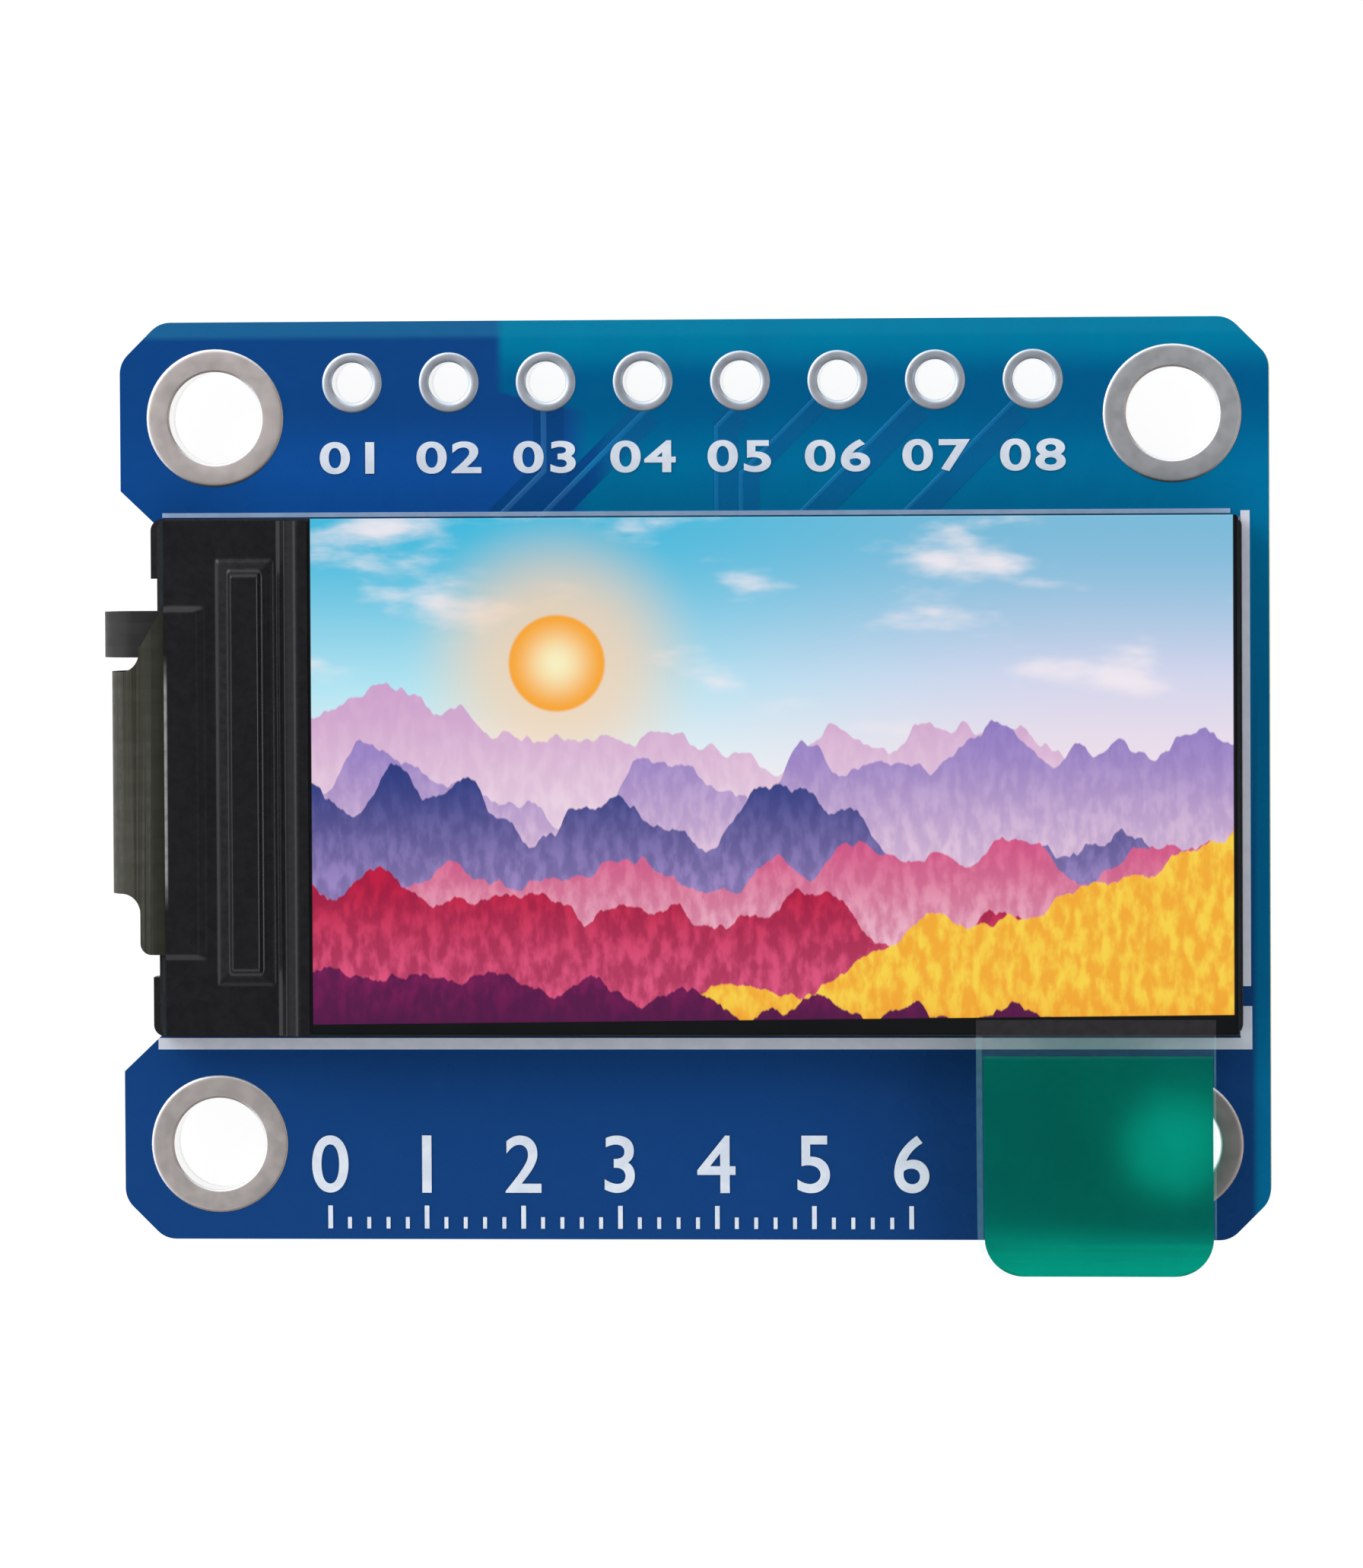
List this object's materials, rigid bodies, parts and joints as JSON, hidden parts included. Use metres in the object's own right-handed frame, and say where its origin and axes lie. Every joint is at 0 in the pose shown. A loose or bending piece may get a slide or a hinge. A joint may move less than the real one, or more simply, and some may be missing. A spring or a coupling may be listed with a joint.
{
  "type": "tft lcd module",
  "caption": "Small colour display module: a backlit glass panel on a blue board with corner mounting holes, a header row, a folded flex cable, a peel-off film and a green pull tab.",
  "frame": {"origin": "centre of the four mounting holes on the board's back face", "axes": "+X along the board away from the cable, +Y up the board towards the header row, +Z out of the screen"},
  "size_m": [0.0305, 0.0249, 0.0041],
  "materials": {
    "board": "blue solder mask on glass fibre board",
    "tinned_copper": "tinned copper",
    "bare_pads": "plated copper",
    "solder": "solder",
    "foam": "foam tape",
    "frame": "black moulding",
    "reflector": "white reflector film",
    "light_guide": "clear acrylic",
    "strip": "black flexible circuit",
    "lamps": "white resin with a yellow phosphor face",
    "white_film": "diffuser film",
    "prism_film": "prism film",
    "black_tape": "black tape",
    "polariser": "polarising film",
    "panel_glass": "display glass",
    "clear_film": "clear peel-off film",
    "silicon": "polished silicon",
    "flex": "olive-black flexible circuit",
    "clear_tape": "clear tape",
    "green_film": "translucent green film",
    "moulding": "black moulding compound",
    "leads": "tinned metal",
    "resistor": "black glaze on ceramic",
    "capacitor": "tan ceramic"
  },
  "bodies": {
    "root": {"board": "board", "mounting_pads": "tinned_copper", "header_pads": "tinned_copper", "flex_pads": "bare_pads", "flex_solder": "solder", "foam_tape": "foam", "backlight_frame": "frame", "reflector_film": "reflector", "light_guide": "light_guide", "backlight_flex": "strip", "backlight_leds": "lamps", "diffuser_film": "white_film", "prism_film_lower": "prism_film", "prism_film_upper": "prism_film", "rim_tape": "black_tape", "tail_solder": "solder", "rear_polariser": "polariser", "tft_glass": "panel_glass", "colour_filter_glass": "panel_glass", "front_polariser": "polariser", "protective_film": "clear_film", "driver_chip": "silicon", "driver_tape": "black_tape", "flex_cable": "flex", "pull_tab": "clear_tape", "grip_film": "green_film", "regulator_body": "moulding", "regulator_leads": "leads", "transistor_body": "moulding", "transistor_leads": "leads", "resistor_1": "resistor", "resistor_2": "resistor", "resistor_3": "resistor", "resistor_ends": "leads", "capacitor_1": "capacitor", "capacitor_2": "capacitor", "capacitor_3": "capacitor", "capacitor_ends": "leads", "component_pads": "bare_pads", "component_solder": "solder"}
  },
  "joints": []
}
